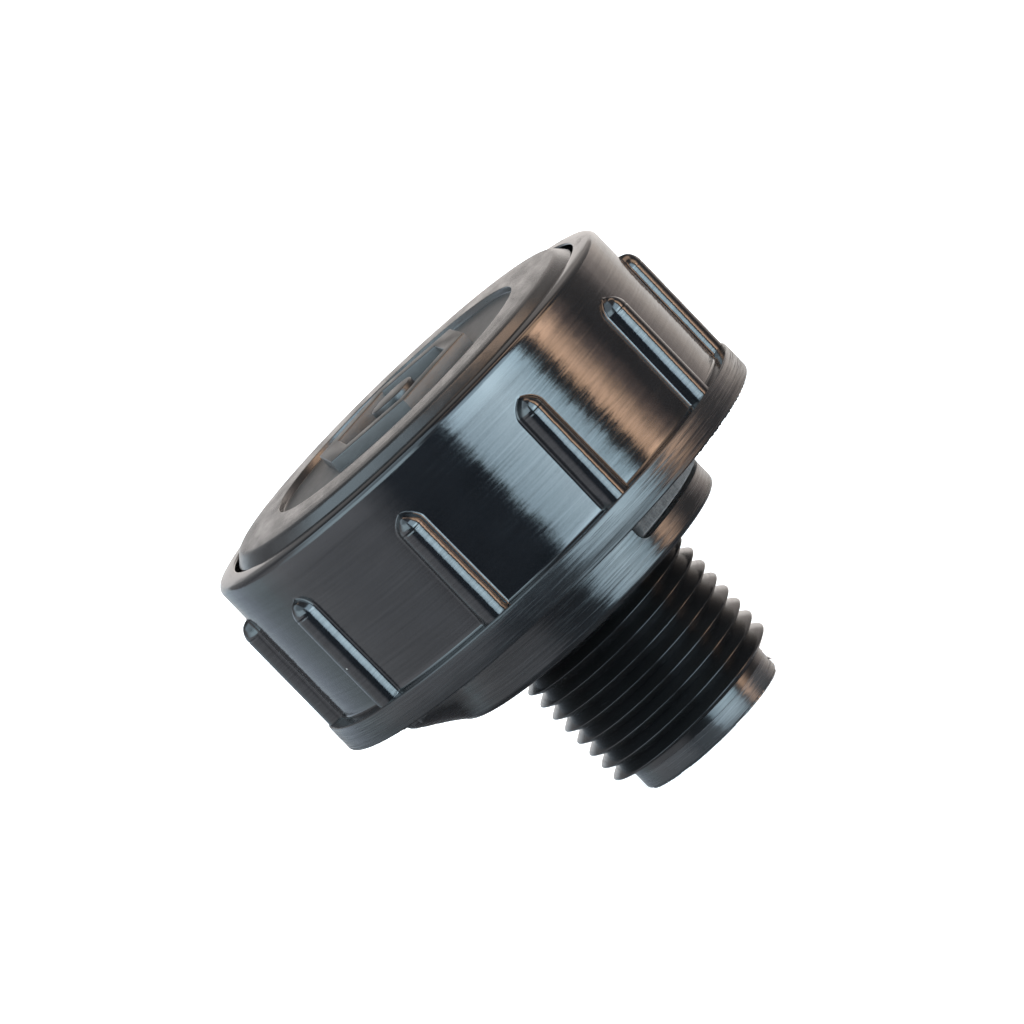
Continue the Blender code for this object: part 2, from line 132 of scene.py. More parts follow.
# Collar
BODY_R = 20.85
SKIRT_TOP = 21.9
RIM_SLOPE = 0.15                 # how much the top rim rises inward
COLLAR_BORE_R = 19.5
LIP_R = 18.78
LIP_BOTTOM = 35.15
BEAD_R = 19.0
BEAD_Z = 32.6
RIB_COUNT = 10
FIRST_RIB = 19.5
RIB_TOP = 32.75
RIB_HEIGHT = 1.2
RIB_HALF_TOP = 1.2               # half width of a rib next to its nose
RIB_HALF_FOOT = 1.32             # and at the skirt
RIB_NOSE = 1.4
RIB_FILLET = 0.24
RIB_SINK = 0.12                  # height of the fillet at the rib's side
RIB_SEAM = 0.05                  # depth of the small seam below the nose
RIB_ARCH = 1.05                  # the section is an arc of this radius over a unit half width
RIB_ARCH_DEPTH = RIB_ARCH - math.sqrt(RIB_ARCH ** 2 - 1)

# Lid
LID_R = 18.4
LID_TOP = 37.2
LID_CROWN = ((17.5, 37.04), (16.1, 37.13), (14.6, 37.18), (13.3, LID_TOP))    # the slightly domed rim
LID_PLATE = 35.0
LID_WALL = 2.0
RECESS_R = 12.9
RECESS_FLOOR = EMBLEM_TOP - 1.05
HEX_R = 8.6
HEX_INNER_R = 6.2
BUTTON_R = 2.2
EMBLEM_TURN = 3.0

# Felt and inner pieces
FELT_INNER_R = 8.6
FELT_RING_R = 12.3
FELT_LOBE_R = 14.36
FELT_EDGE = 0.3                  # how far in from its outline a lobe reaches its full height
FELT_GAP = 0.3                   # between a lobe and the window's sill, and a lobe and the collar
LOBE_INSET = 0.1                 # between a lobe and the window's ends
FELT_NAP = 0.035                 # unevenness of a lobe
FELT_WAVE = 0.0035               # unevenness of the inner felts, as a share of the radius
FELT_COLUMN_STEP = 0.11          # spacing of the mesh at a lobe's ends
FELT_ROW_STEP = 0.09             # and at its lower and upper edge
TUBE_INNER_R = 6.2
SLOT_PAIRS = 4
SLOT_WIDTH = 1.6
SLOT_LOW = 24.4
SLOT_HIGH = 29.6
PLATE_HOLES = 12
PLATE_HOLE_R = 1.3
SCREEN_WARPS = 72
SCREEN_HOOPS = 12
WIRE_R = 0.09


# ---------------------------------------------------------------- material nodes

class Nodes:
    """A small helper for wiring one material's nodes."""

    def __init__(self, name):
        self.material = bpy.data.materials.new(name)
        self.material.use_nodes = True
        self.tree = self.material.node_tree
        self.shader = self.tree.nodes["Principled BSDF"]

    def add(self, kind, **inputs):
        node = self.tree.nodes.new(kind)
        for key, value in inputs.items():
            self.put(node, key, value)
        return node

    def put(self, node, key, value):
        name = key.replace("_", " ")
        socket = node.inputs[int(key[1:])] if key[0] == "i" and key[1:].isdigit() else node.inputs[name]
        if isinstance(value, bpy.types.NodeSocket):
            self.tree.links.new(value, socket)
        else:
            socket.default_value = value

    def math(self, operation, first, second=0.0):
        node = self.add("ShaderNodeMath", i0=first, i1=second)
        node.operation = operation
        return node.outputs[0]

    def place(self, x=1.0, y=1.0, z=1.0):
        """Object coordinates in millimetres, stretched."""
        where = self.add("ShaderNodeTexCoord").outputs["Object"]
        mapping = self.add("ShaderNodeMapping", Vector=where, Scale=(x / MM, y / MM, z / MM))
        return mapping.outputs[0]

    def noise(self, vector, scale=1.0, detail=3.0, roughness=0.55):
        return self.add("ShaderNodeTexNoise", Vector=vector, Scale=scale, Detail=detail,
                        Roughness=roughness).outputs["Fac"]

    def remap(self, value, low, high, out_low, out_high):
        return self.add("ShaderNodeMapRange", Value=value, From_Min=low, From_Max=high,
                        To_Min=out_low, To_Max=out_high).outputs[0]

    def mix(self, factor, first, second):
        node = self.tree.nodes.new("ShaderNodeMix")
        node.data_type = "RGBA"
        self.put(node, "i0", factor)
        self.put(node, "i6", first)
        self.put(node, "i7", second)
        return node.outputs[2]

    def bump(self, height, distance, normal=None):
        inputs = {"Height": height, "Distance": distance * MM, "Strength": 1.0}
        if normal is not None:
            inputs["Normal"] = normal
        return self.add("ShaderNodeBump", **inputs).outputs[0]

    def vector(self, operation, first, second):
        node = self.add("ShaderNodeVectorMath", i0=first)
        node.operation = operation
        self.put(node, "Scale" if operation == "SCALE" else "i1", second)
        return node.outputs[0]

    def tilt(self, normal, around, along):
        """Turns a normal a little round the object's axis and a little along it."""
        surface = self.add("ShaderNodeNewGeometry").outputs["Normal"]
        sideways = self.vector("CROSS_PRODUCT", (0, 0, 1), surface)
        turned_off = self.vector("ADD", normal, self.vector("SCALE", sideways, around))
        lifted = self.add("ShaderNodeCombineXYZ", X=0.0, Y=0.0, Z=along).outputs[0]
        return self.vector("NORMALIZE", self.vector("ADD", turned_off, lifted), (0, 0, 0))

    def wobble(self, vector, scale, amplitude, detail=3.0):
        """Noise centred on zero."""
        centred = self.math("SUBTRACT", self.noise(vector, scale, detail), 0.5)
        return self.math("MULTIPLY", centred, amplitude)

    def finish(self, **inputs):
        for key, value in inputs.items():
            self.put(self.shader, key, value)
        return self.material


def moulded_black(name, colour, rough, streak, scuff=0.2, dust=0.62, ior=1.5):
    """Glossy black moulding: polishing streaks round the axis, orange peel, scuffs and dust."""
    n = Nodes(name)
    band = n.place(0.10, 0.10, 4.6)
    line = n.place(0.07, 0.07, 10.0)
    patches = n.noise(n.place(), 0.28, 2.0)
    around = n.math("ADD", n.wobble(band, 1.0, streak * 1.6), n.wobble(line, 1.0, streak * 1.6))
    around = n.math("ADD", around, n.wobble(n.place(), 0.8, 0.05))
    around = n.math("ADD", around, n.wobble(n.place(), 5.5, 0.03))
    lift = 0.05 + streak * 1.6
    along = n.math("ADD", n.wobble(n.place(0.12, 0.12, 5.6), 1.0, lift), n.wobble(n.place(), 6.5, 0.05))
    along = n.math("ADD", along, n.wobble(n.place(0.16, 0.16, 12.0), 1.0, lift))
    specks = n.add("ShaderNodeTexVoronoi", Vector=n.place(), Scale=0.55)
    sizes = n.noise(n.place(), 1.3, 1.0)
    speck = n.math("LESS_THAN", specks.outputs["Distance"], n.remap(sizes, dust, 0.85, 0.0, 0.10))
    tint = n.mix(n.remap(patches, 0.3, 0.7, 0.0, 1.0), (*colour, 1), (*[c * 1.35 for c in colour], 1))
    n.finish(Base_Color=n.mix(speck, tint, (0.16, 0.15, 0.14, 1)))
    scratches = n.noise(n.place(0.2, 0.2, 8.0), 1.0, 4.0, 0.7)
    wear = n.math("ADD", n.remap(patches, 0.3, 0.75, rough - 0.01, rough + 0.04),
                  n.remap(scratches, 0.5, 0.72, 0.0, scuff))
    n.finish(Roughness=n.math("ADD", wear, n.math("MULTIPLY", speck, 0.3)))
    n.finish(Normal=n.tilt(n.bump(scratches, 0.004), around, along))
    return n.finish(IOR=ior)


def satin_black(name, colour, rough):
    """Lightly textured black moulding, as on the lid."""
    n = Nodes(name)
    texture = n.noise(n.place(), 9.0, 4.0, 0.6)
    flow = n.noise(n.place(0.5, 0.16, 1.0), 1.0, 3.0)
    n.finish(Base_Color=n.mix(n.remap(flow, 0.35, 0.65, 0.0, 1.0), (*colour, 1),
                              (*[c * 1.5 for c in colour], 1)))
    n.finish(Roughness=n.remap(flow, 0.3, 0.7, rough - 0.05, rough + 0.07))
    n.finish(Normal=n.bump(texture, 0.005, normal=n.bump(flow, 0.03)))
    return n.finish(IOR=1.5)


def needle_felt(name, dark, light):
    """Needled fibre felt: crossed fibre streaks, soft clumps and a matt nap."""
    n = Nodes(name)
    one = n.noise(n.place(7.0, 1.2, 1.6), 1.0, 4.0, 0.7)
    two = n.noise(n.place(1.3, 6.5, 2.0), 1.0, 4.0, 0.7)
    three = n.noise(n.place(1.6, 1.5, 7.5), 1.0, 4.0, 0.7)
    fibres = n.math("MAXIMUM", n.math("MAXIMUM", one, two), three)
    clumps = n.noise(n.place(), 0.9, 3.0)
    shade = n.math("ADD", n.remap(fibres, 0.45, 0.8, 0.0, 0.8), n.remap(clumps, 0.3, 0.7, -0.15, 0.2))
    n.finish(Base_Color=n.mix(shade, (*dark, 1), (*light, 1)))
    n.finish(Normal=n.bump(fibres, 0.12, normal=n.bump(clumps, 0.35)))
    return n.finish(Roughness=n.remap(clumps, 0.3, 0.7, 0.86, 1.0), Sheen_Weight=0.12, Sheen_Roughness=0.6)


def metal(name, colour, rough, grain_z):
    """Bright metal with drawn grain and stains."""
    n = Nodes(name)
    grain = n.noise(n.place(1.0, 1.0, grain_z), 2.5, 4.0, 0.6)
    stain = n.noise(n.place(), 0.35, 3.0)
    n.finish(Base_Color=n.mix(n.remap(stain, 0.35, 0.7, 0.0, 1.0), (*colour, 1),
                              (*[c * 0.7 for c in colour], 1)))
    n.finish(Roughness=n.remap(grain, 0.3, 0.7, rough - 0.08, rough + 0.12))
    n.finish(Normal=n.bump(grain, 0.01))
    return n.finish(Metallic=1.0)


BASE_PLASTIC = moulded_black("base_moulding", (0.004, 0.0041, 0.0045), 0.17, 0.12, 0.34, ior=1.46)
COLLAR_PLASTIC = moulded_black("collar_moulding", (0.0022, 0.0024, 0.0028), 0.07, 0.032, 0.15)
SKIRT_PLASTIC = moulded_black("skirt_moulding", (0.004, 0.0041, 0.0045), 0.19, 0.15, 0.34, ior=1.43)
THREAD_PLASTIC = moulded_black("thread_moulding", (0.0028, 0.0028, 0.003), 0.16, 0.03, 0.1, 0.58)
LID_PLASTIC = satin_black("lid_moulding", (0.0085, 0.008, 0.0078), 0.22)
RECESS_PLASTIC = satin_black("lid_recess", (0.026, 0.0245, 0.0235), 0.42)
EMBLEM_PLASTIC = satin_black("lid_emblem", (0.006, 0.0058, 0.0056), 0.34)
TIP_PLASTIC = moulded_black("tip_moulding", (0.014, 0.0135, 0.0138), 0.14, 0.14, 0.3)
TUBE_PLASTIC = satin_black("tube_moulding", (0.03, 0.03, 0.032), 0.45)
GREY_FELT = needle_felt("grey_felt", (0.014, 0.0135, 0.0135), (0.062, 0.06, 0.06))
WHITE_FELT = needle_felt("white_felt", (0.45, 0.43, 0.39), (0.80, 0.78, 0.73))
ZINC = metal("zinc_plate", (0.62, 0.62, 0.60), 0.3, 0.4)
WIRE = metal("screen_wire", (0.58, 0.58, 0.57), 0.28, 2.0)


# ---------------------------------------------------------------- mesh helpers

def set_smooth(mesh, sharp):
    """Smooth shading, apart from edges sharper than an angle in degrees."""
    mesh.shade_smooth()
    mesh.set_sharp_from_angle(angle=math.radians(sharp))


def to_object(name, mesh, material, sharp=35.0):
    """An object in the scene's metres from a mesh in millimetres."""
    mesh.transform(Matrix.Scale(MM, 4))
    mesh.materials.append(material)
    set_smooth(mesh, sharp)
    obj = bpy.data.objects.new(name, mesh)
    bpy.context.scene.collection.objects.link(obj)
    return obj


def bake(obj):
    """Applies an object's modifiers."""
    graph = bpy.context.evaluated_depsgraph_get()
    mesh = bpy.data.meshes.new_from_object(obj.evaluated_get(graph))
    obj.modifiers.clear()
    obj.data = mesh


def boolean(obj, tool, operation):
    """Joins or cuts with another object, which is then removed."""
    modifier = obj.modifiers.new("boolean", "BOOLEAN")
    modifier.operation = operation
    modifier.object = tool
    modifier.solver = "EXACT"
    bpy.context.view_layer.update()
    bake(obj)
    bpy.data.objects.remove(tool)


def grid_mesh(name, radius, height, angles):
    """Closed skin over rows x columns of radius and height, at angles in degrees from the front."""
    rows, columns = radius.shape
    theta = np.radians(angles)
    points = np.stack([radius * np.sin(theta), -radius * np.cos(theta),
                       np.broadcast_to(height, radius.shape)], axis=-1).reshape(-1, 3)
    faces = []
    for i in range(rows):
        low, high = i * columns, ((i + 1) % rows) * columns
        faces += [(low + j, low + j + 1, high + j + 1, high + j) for j in range(columns - 1)]
    mesh = bpy.data.meshes.new(name)
    mesh.from_pydata([tuple(p) for p in points], [], faces)
    work = bmesh.new()
    work.from_mesh(mesh)
    bmesh.ops.remove_doubles(work, verts=work.verts, dist=MERGE_DISTANCE)
    bmesh.ops.dissolve_degenerate(work, edges=work.edges, dist=MERGE_DISTANCE * 0.1)
    bmesh.ops.delete(work, geom=[e for e in work.edges if not e.link_faces], context="EDGES")
    bmesh.ops.recalc_face_normals(work, faces=work.faces)
    work.to_mesh(mesh)
    work.free()
    return mesh


def full_circle(count):
    """Angles right round, the first and the last in the same place."""
    return np.linspace(-180, 180, count + 1)


def wrapped(angles):
    """Angles brought between -180 and 180."""
    return (angles + 180) % 360 - 180


def ring_point(radius, degrees, z):
    """A point at an angle from the front."""
    angle = math.radians(degrees)
    return (radius * math.sin(angle), -radius * math.cos(angle), z)


def rounded(points, radii, steps=4):
    """A (radius, z) outline with its corners rounded."""
    result = []
    count = len(points)
    for index, (corner, radius) in enumerate(zip(points, radii)):
        here = np.array(corner, float)
        before = np.array(points[index - 1], float) - here
        after = np.array(points[(index + 1) % count], float) - here
        if radius <= 0:
            result.append(tuple(here))
            continue
        before /= np.linalg.norm(before)
        after /= np.linalg.norm(after)
        half = math.acos(np.clip(before @ after, -1, 1)) / 2
        reach = radius / math.tan(half)
        centre = here + (before + after) / np.linalg.norm(before + after) * radius / math.sin(half)
        start, end = here + before * reach - centre, here + after * reach - centre
        sweep = math.atan2(start[0] * end[1] - start[1] * end[0], start @ end)
        for step in range(steps + 1):
            angle = sweep * step / steps
            turn = np.array([[math.cos(angle), -math.sin(angle)], [math.sin(angle), math.cos(angle)]])
            result.append(tuple(centre + turn @ start))
    return result


def plain_rows(points, columns):
    """Circular rows from (radius, z) points."""
    profile = np.array(points, float)
    ones = np.ones((1, columns))
    return profile[:, :1] * ones, profile[:, 1:] * ones


def turned(name, outline, columns):
    """A solid of revolution from a (radius, z) outline."""
    return grid_mesh(name, *plain_rows(outline, columns + 1), full_circle(columns))


def turns_from_x(angles):
    """Angles from the front as shares of a turn from +X, the zero of both threads."""
    return (np.asarray(angles) - 90.0) / 360.0


def thread_rows(low, high, pitch, phases, angles, radius_at):
    """Rows along a right-hand helix, cut off level at both ends."""
    radii, heights = [], []
    share = turns_from_x(angles)
    for turn in range(-3, int((high - low) / pitch) + 3):
        for phase in phases:
            z = np.clip(low + pitch * (turn + phase + share), low, high)
            radii.append(radius_at(((z - low) / pitch - share) % 1.0, z))
            heights.append(z)
    return np.array(radii), np.array(heights)


def stack(*blocks):
    """Joins blocks of rows, each (radii, heights)."""
    return np.vstack([b[0] for b in blocks]), np.vstack([b[1] for b in blocks])


# ---------------------------------------------------------------- base

def pipe_radius(phase, z):
    """V thread with a small round crest."""
    share = (z - THREAD_START) / (SHOULDER - THREAD_START)
    crest = PIPE_CREST_END + (PIPE_CREST_HUB - PIPE_CREST_END) * share
    fall = np.hypot(phase - 0.5, CREST_ROUND) - CREST_ROUND
    return crest - PIPE_DEPTH * fall / (math.hypot(0.5, CREST_ROUND) - CREST_ROUND)


def ridge(offset):
    """Height of a screw ridge, 1 at its crest, at a distance from its middle."""
    return np.clip((RIDGE_FOOT - np.abs(offset)) / (RIDGE_FOOT - RIDGE_CREST), 0, 1)


def male_radius(phase, z):
    """The cup's screw thread, whose ridge is at half a turn."""
    fade = np.clip(np.minimum(z - JOINT_LOW, CUP_RIM - z) / JOINT_FADE, 0, 1)
    return MALE_ROOT_R + JOINT_DEPTH * ridge(phase - 0.5) * fade


def female_radius(phase, z):
    """The collar's screw thread, whose ridge lies between the cup's."""
    fade = np.clip(np.minimum(z - JOINT_LOW, JOINT_HIGH - z) / JOINT_FADE, 0, 1)
    return FEMALE_ROOT_R - JOINT_DEPTH * ridge(np.minimum(phase, 1 - phase)) * fade


def window_cutter(centre):
    """A block through the hub wall with rounded lower corners."""
    edge = math.degrees(WINDOW_CORNER / HUB_R)
    corner = [(WINDOW_HALF - edge + edge * math.sin(a), WINDOW_CORNER * (1 - math.cos(a)))
              for a in np.linspace(math.pi / 2, 0, 7)]
    straight = [(a, 0.0) for a in np.linspace(WINDOW_HALF - edge, edge - WINDOW_HALF, 26)[1:-1]]
    columns = corner + straight + [(-a, rise) for a, rise in corner[::-1]]
    inside, outside = HUB_INNER_R - 0.6, HUB_R + 1.0
    mesh = bmesh.new()
    rings = []
    for a, rise in columns:
        corners = ((inside, WINDOW_SILL + rise), (outside, WINDOW_SILL + rise),
                   (outside, COLLAR_LOW), (inside, COLLAR_LOW))
        rings.append([mesh.verts.new(ring_point(r, centre + a, z)) for r, z in corners])
    for one, two in zip(rings, rings[1:]):
        for i in range(4):
            j = (i + 1) % 4
            mesh.faces.new((one[i], one[j], two[j], two[i]))
    mesh.faces.new(rings[0])
    mesh.faces.new(rings[-1])
    bmesh.ops.recalc_face_normals(mesh, faces=mesh.faces)
    data = bpy.data.meshes.new("window")
    mesh.to_mesh(data)
    mesh.free()
    return to_object("window_tool", data, BASE_PLASTIC)


def split_rows(points, corner):
    """The points up to a sharp corner, and the points from it on."""
    index = next(i for i, p in enumerate(points) if math.dist(p, corner) < 1e-6)
    return points[:index + 1], points[index:]


def boss_swell(angles, z):
    """How far the moulded boss under the plate stands out of the hub wall."""
    share = np.clip((angles - BOSS_CENTRE) / BOSS_HALF, -1, 1)
    rise = np.interp(z, (SHOULDER + 0.3, SHOULDER + 2.5, SHOULDER + 3.6), (0, 0.86, 1.0))
    ripple = 1 + 0.03 * np.sin(angles * 0.9 + z * 3.1) + 0.02 * np.sin(angles * 2.3 - z * 5.0)
    return (BOSS_R - HUB_R) * np.cos(share * math.pi / 2) ** 2 * rise * ripple


def unevenness(angle, seed):
    """Between about 0 and 1, irregular along the edge."""
    return abs(0.55 * math.sin(angle * 1.31 + seed) + 0.3 * math.sin(angle * 3.7 + 2 * seed)
               + 0.25 * math.sin(angle * 8.9 + 3 * seed))


def flash(work, radius, z, start, end, reach, lean, seed):
    """A thin ragged fin of moulding flash along an edge; lean is how far its free edge stands out."""
    rings = []
    count = max(int((end - start) * radius * 0.0175 / FLASH_STEP), 4)
    for i in range(count + 1):
        angle = start + (end - start) * i / count
        fade = min(1.0, 4.0 * i / count, 4.0 * (count - i) / count)
        drop = 0.02 + reach * fade * unevenness(angle * radius / 3.0, seed)
        rings.append([work.verts.new(ring_point(r, angle, h)) for r, h in (
            (radius - FLASH_THICK, z + 0.12), (radius + FLASH_THICK * 0.5, z + 0.1),
            (radius + lean * drop, z - drop))])
    for one, two in zip(rings, rings[1:]):
        for k in range(3):
            m = (k + 1) % 3
            work.faces.new((one[k], one[m], two[m], two[k]))
    work.faces.new(rings[0][::-1])
    work.faces.new(rings[-1])


def add_flash(target, fins):
    """Joins fins of flash to a moulding."""
    work = bmesh.new()
    for fin in fins:
        flash(work, *fin)
    bmesh.ops.recalc_face_normals(work, faces=work.faces)
    for vert in work.verts:
        vert.co *= MM
    work.from_mesh(target.data)
    work.to_mesh(target.data)
    work.free()


def make_base():
    """Stem, hub and cup in one moulding, with the windows cut and the flash added."""
    angles = full_circle(180)
    columns = len(angles)
    pipe_phases = (0.0, *NEAR_CREST, 0.5, *[1 - p for p in NEAR_CREST[::-1]])
    male_phases = (0.5 - RIDGE_FOOT, 0.5 - RIDGE_CREST, 0.5 + RIDGE_CREST, 0.5 + RIDGE_FOOT)
    thread_end = SHOULDER - LAND_HEIGHT
    tip_end_r = TIP_R - TIP_BAND_STEP
    corners = ((BORE_R, 0, 0.3), (tip_end_r, 0, 0.22), (tip_end_r, TIP_BAND_Z - TIP_BAND_HALF, 0),
               (TIP_R, TIP_BAND_Z + TIP_BAND_HALF, 0), (TIP_R, THREAD_START, 0),
               (LAND_R, thread_end, 0), (LAND_R, SHOULDER, 0), (HUB_R, SHOULDER, 0.5),
               (HUB_R, PLATE_BOTTOM, 0.2), (MALE_ROOT_R, PLATE_BOTTOM, 0.15),
               (MALE_ROOT_R, JOINT_LOW, 0), (MALE_ROOT_R, CUP_RIM, 0),
               (CUP_INNER_R, CUP_RIM, 0.2), (CUP_INNER_R, CUP_FLOOR, 0.3),
               (HUB_INNER_R, CUP_FLOOR, 0.15), (HUB_INNER_R, HUB_FLOOR, 0.3),
               (STEM_TUBE_R, HUB_FLOOR, 0.3), (STEM_TUBE_R, CUP_FLOOR, 0.15), (BORE_R, CUP_FLOOR, 0.3))
    outline = rounded([c[:2] for c in corners], [c[2] for c in corners])
    tip, rest = split_rows(outline, (TIP_R, THREAD_START))
    hub, rest = split_rows(rest[1:], (MALE_ROOT_R, JOINT_LOW))
    wall_end = next(i for i, (r, z) in enumerate(hub) if z > SHOULDER + 0.6)
    hub[wall_end:wall_end] = [(HUB_R, z)
                              for z in np.linspace(SHOULDER + 0.55, PLATE_BOTTOM - 0.25, BOSS_ROWS)]
    hub_r, hub_z = plain_rows(hub, columns)
    on_wall = (hub_r > HUB_R - 0.3) & (hub_r < HUB_R + 1) & (hub_z < PLATE_BOTTOM + 0.01)
    hub_r = hub_r + np.where(on_wall, boss_swell(angles[None, :], hub_z), 0)
    rows = stack(
        plain_rows(tip, columns),
        thread_rows(THREAD_START, thread_end, PIPE_PITCH, pipe_phases, angles, pipe_radius),
        (hub_r, hub_z),
        thread_rows(JOINT_LOW, CUP_RIM, JOINT_PITCH, male_phases, angles, male_radius),
        plain_rows(rest[1:], columns))
    base = to_object("base_moulding", grid_mesh("base", *rows, angles), BASE_PLASTIC)
    for centre in WINDOW_CENTRES:
        boolean(base, window_cutter(centre), "DIFFERENCE")
    add_flash(base, TIP_FLASH + BOSS_FLASH)
    base.data.materials.append(THREAD_PLASTIC)
    base.data.materials.append(TIP_PLASTIC)
    for face in base.data.polygons:
        middle = face.center / MM
        outside = middle.xy.length > BORE_R + 1 and middle.z < SHOULDER + 0.02
        face.material_index = (2 if middle.z < TIP_BAND_Z else 1) if outside else 0
    set_smooth(base.data, 38)
    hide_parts("threaded_base")
    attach(base, "base")


# ---------------------------------------------------------------- collar

def rib_half_width(z):
    """Half width of a rib at a height: slightly tapered, with a pointed arch at the top."""
    along = np.clip((RIB_TOP - z) / RIB_NOSE, 0, 1)
    taper = np.interp(z, (SKIRT_TOP, RIB_TOP), (RIB_HALF_FOOT, RIB_HALF_TOP))
    return taper * np.sin(along * math.pi / 2) ** 0.72


def rib_height(across, z):
    """Height of a rib above the collar's wall, at a distance from its middle line."""
    half = rib_half_width(z)
    down = RIB_TOP - z
    nose = np.sqrt(np.clip(1 - (1 - np.clip(down / RIB_NOSE, 0, 1)) ** 2, 0, 1))
    seam = RIB_SEAM * np.exp(-((down - RIB_NOSE - 0.05) / 0.07) ** 2)
    out = np.clip(np.abs(across) / np.maximum(half, 1e-6), 0, 1)
    arch = (np.sqrt(RIB_ARCH ** 2 - out ** 2) - math.sqrt(RIB_ARCH ** 2 - 1)) / RIB_ARCH_DEPTH
    away = np.clip((np.abs(across) - half) / RIB_FILLET, 0, 1)
    above = np.clip(1 + down / RIB_FILLET, 0, 1)
    fillet = RIB_SINK * (1 - away) ** 2 * above ** 2
    return (RIB_HEIGHT * nose - RIB_SINK) * arch + fillet - seam * arch


def collar_angles():
    """Columns crowded over the ribs, in degrees."""
    pitch = 360.0 / RIB_COUNT
    reach = RIB_HALF_FOOT + RIB_FILLET + 0.08
    foot = np.linspace(RIB_HALF_TOP - 0.2, reach, 12)
    crest = np.linspace(0, RIB_HALF_TOP - 0.2, 13)[:-1]
    half = np.concatenate([crest, foot])
    dense = np.concatenate([-half[:0:-1], half])
    gap = np.linspace(reach, math.radians(pitch) * BODY_R - reach, 9)[1:-1]
    one = np.degrees(np.concatenate([dense, gap]) / BODY_R)
    start = FIRST_RIB - 180
    angles = np.concatenate([start + pitch * k + one for k in range(RIB_COUNT)])
    return np.append(angles, angles[0] + 360)


def make_collar():
    """The ribbed shell with its skirt, lip, snap bead and screw thread."""
    angles = collar_angles()
    columns = len(angles)
    corners = ((FEMALE_ROOT_R, COLLAR_LOW, 0.1), (SKIRT_R, COLLAR_LOW, 0.12),
               (SKIRT_R, SKIRT_TOP, 0.18), (BODY_R, SKIRT_TOP, 0.22), (BODY_R, COLLAR_TOP - 2, 0),
               (BODY_R, COLLAR_TOP - 0.06, 0.65), (LIP_R, COLLAR_TOP + RIM_SLOPE, 0.14),
               (LIP_R, LIP_BOTTOM, 0.1), (COLLAR_BORE_R, LIP_BOTTOM, 0.2),
               (COLLAR_BORE_R, BEAD_Z + 0.3, 0.1), (BEAD_R, BEAD_Z, 0.1), (BEAD_R, BEAD_Z - 0.2, 0.1),
               (COLLAR_BORE_R, BEAD_Z - 0.7, 0.2), (COLLAR_BORE_R, JOINT_HIGH + 0.4, 0),
               (FEMALE_ROOT_R, JOINT_HIGH, 0))
    outline = rounded([c[:2] for c in corners], [c[2] for c in corners])
    skirt, rim = split_rows(outline[:-1], (BODY_R, COLLAR_TOP - 2))
    wall = [(BODY_R, z) for z in np.arange(SKIRT_TOP + 0.6, RIB_TOP - 2.4, 1.2)]
    wall += [(BODY_R, z) for z in np.linspace(RIB_TOP - 1.8, RIB_TOP + RIB_FILLET + 0.05, 34)]
    outer_r, outer_z = plain_rows(skirt[:-1] + wall + rim, columns)
    rib_middle, rib_reach = (SKIRT_TOP + RIB_TOP) / 2, 6.4
    on_wall = (outer_r[:, 0] > BODY_R - 0.05) & (np.abs(outer_z[:, 0] - rib_middle) < rib_reach)
    pitch = 360.0 / RIB_COUNT
    off = (angles - FIRST_RIB + pitch / 2) % pitch - pitch / 2
    ribs = BODY_R + rib_height(np.radians(off)[None, :] * BODY_R, outer_z)
    outer_r = np.where(on_wall[:, None], np.maximum(outer_r, ribs), outer_r)
    female = (RIDGE_CREST, RIDGE_FOOT, 1 - RIDGE_FOOT, 1 - RIDGE_CREST)
    inner = thread_rows(JOINT_LOW, JOINT_HIGH, JOINT_PITCH, female, angles, female_radius)
    rows = stack((outer_r, outer_z), (inner[0][::-1], inner[1][::-1]))
    collar = to_object("collar_shell", grid_mesh("collar", *rows, angles), COLLAR_PLASTIC, 40)
    add_flash(collar, SKIRT_FLASH)
    collar.data.materials.append(SKIRT_PLASTIC)
    for face in collar.data.polygons:
        face.material_index = 1 if face.center.z < (SKIRT_TOP + 0.02) * MM else 0
    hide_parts("ribbed_collar")
    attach(collar, "collar")


# ---------------------------------------------------------------- lid

def bevelled_ring(name, outer, inner, low, sides):
    """A polygonal ring or post of the emblem, with a soft top edge."""
    high = EMBLEM_TOP
    if inner:
        outline = rounded([(inner, low), (outer, low), (outer - 0.06, high), (inner + 0.06, high)],
                          [0, 0, 0.14, 0.14], 3)
    else:
        outline = [(0, low)] + rounded([(0.01, low), (outer, low), (outer - 0.06, high), (0.01, high)],
                                       [0, 0, 0.14, 0], 3) + [(0, high)]
    mesh = turned(name, outline, sides)
    mesh.transform(Matrix.Rotation(math.radians(EMBLEM_TURN), 4, "Z"))
    return to_object(name, mesh, LID_PLASTIC)


